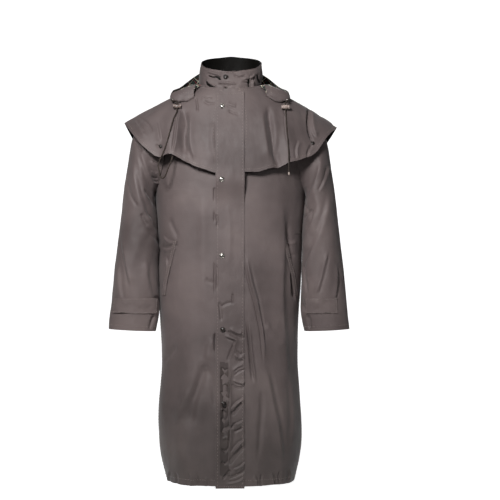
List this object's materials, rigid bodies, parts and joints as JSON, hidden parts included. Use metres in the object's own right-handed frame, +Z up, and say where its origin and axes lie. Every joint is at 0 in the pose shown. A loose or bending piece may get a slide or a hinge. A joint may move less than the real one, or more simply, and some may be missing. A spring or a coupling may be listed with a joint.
{
  "type": "raincoat",
  "caption": "Long hollow worn-form riding raincoat with shoulder cape, stand collar, folded-down check-lined hood, storm placket with press studs, slanted pockets and cuff tabs",
  "frame": {"origin": "between the shoulders at the foot of the collar, where the wearer carries the coat", "axes": "+Z up along the coat, +X to the right of someone facing the coat, front towards -Y"},
  "size_m": [0.7158, 0.3665, 1.2819],
  "materials": {
    "coat_cloth": "waxed-look coated cloth",
    "collar_lining": "matt black",
    "check_lining": "woven dark check",
    "stud_metal": "polished nickel",
    "toggle_plastic": "glossy",
    "cord": "braided"
  },
  "bodies": {
    "root": {"front_right": "coat_cloth", "front_left": "coat_cloth", "back": "coat_cloth", "sleeve_right": "coat_cloth", "sleeve_left": "coat_cloth", "cape_right": "coat_cloth", "cape_left": "coat_cloth", "cape_back": "coat_cloth", "collar": "coat_cloth", "collar_lining": "collar_lining", "hood": "coat_cloth", "hood_lining": "check_lining", "placket": "coat_cloth", "pocket_right": "coat_cloth", "pocket_left": "coat_cloth", "cuff_tab_right": "coat_cloth", "cuff_tab_left": "coat_cloth", "stud_collar": "stud_metal", "stud_throat": "stud_metal", "stud_front_1": "stud_metal", "stud_front_2": "stud_metal", "stud_front_3": "stud_metal", "stud_front_4": "stud_metal", "stud_cape_right": "stud_metal", "stud_cape_left": "stud_metal", "eyelet_right": "stud_metal", "eyelet_left": "stud_metal", "toggle_right": "toggle_plastic", "toggle_left": "toggle_plastic", "drawcord_right": "cord", "drawcord_left": "cord"}
  },
  "joints": []
}
